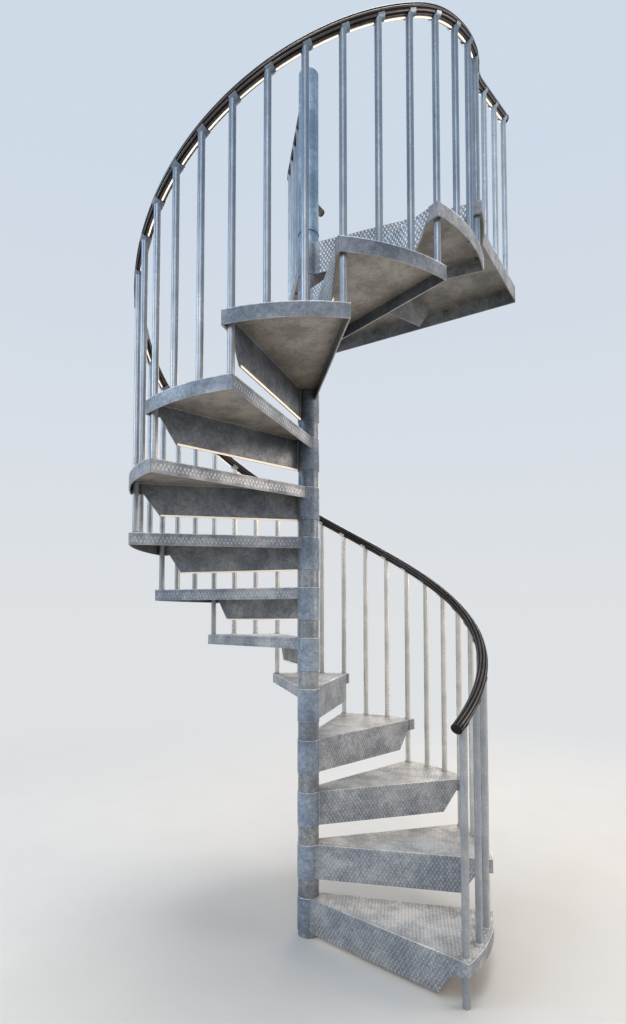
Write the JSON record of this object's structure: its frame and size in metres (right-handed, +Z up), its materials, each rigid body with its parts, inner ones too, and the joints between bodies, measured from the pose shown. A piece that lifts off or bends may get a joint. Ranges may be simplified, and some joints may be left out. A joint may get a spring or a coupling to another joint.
{
  "type": "spiral staircase",
  "caption": "Galvanised spiral staircase with wedge treads on a centre column, a corner landing, round balusters and a dark helical handrail.",
  "frame": {"origin": "centre of the column's foot, on its underside at floor level", "axes": "+Z up the column; +Y square to the upper floor's edge, towards that floor; +X to the right seen from the lower ground when facing the floor; the stair climbs anticlockwise seen from above"},
  "size_m": [1.4999, 1.567, 3.8465],
  "materials": {
    "galvanised_steel": "hot-dip galvanised, mottled, matt",
    "baluster_steel": "galvanised tube, matt",
    "zinc_plated_nut": "zinc plated",
    "ribbed_rail_cover": "ribbed, dark brown-black",
    "light_strip": "clear cover over warm white light"
  },
  "bodies": {
    "root": {"column_foot": "galvanised_steel", "column_tube": "galvanised_steel", "spacer_sleeves": "galvanised_steel", "newel_sleeve": "galvanised_steel", "newel_cap": "galvanised_steel", "tread_01": "galvanised_steel", "tread_02": "galvanised_steel", "tread_03": "galvanised_steel", "tread_04": "galvanised_steel", "tread_05": "galvanised_steel", "tread_06": "galvanised_steel", "tread_07": "galvanised_steel", "tread_08": "galvanised_steel", "tread_09": "galvanised_steel", "tread_10": "galvanised_steel", "tread_11": "galvanised_steel", "tread_12": "galvanised_steel", "tread_13": "galvanised_steel", "landing": "galvanised_steel", "landing_rib": "galvanised_steel", "first_baluster": "baluster_steel", "corner_balusters": "baluster_steel", "lower_balusters": "baluster_steel", "upper_balusters": "baluster_steel", "landing_balusters": "baluster_steel", "well_guard_balusters": "baluster_steel", "corner_nuts": "zinc_plated_nut", "handrail_1": "ribbed_rail_cover", "handrail_2": "ribbed_rail_cover", "handrail_3": "ribbed_rail_cover", "handrail_4": "ribbed_rail_cover", "handrail_5": "ribbed_rail_cover", "handrail_6": "ribbed_rail_cover", "well_guard_rail": "ribbed_rail_cover", "tread_light_strips": "light_strip", "handrail_light_strip": "light_strip"}
  },
  "joints": []
}
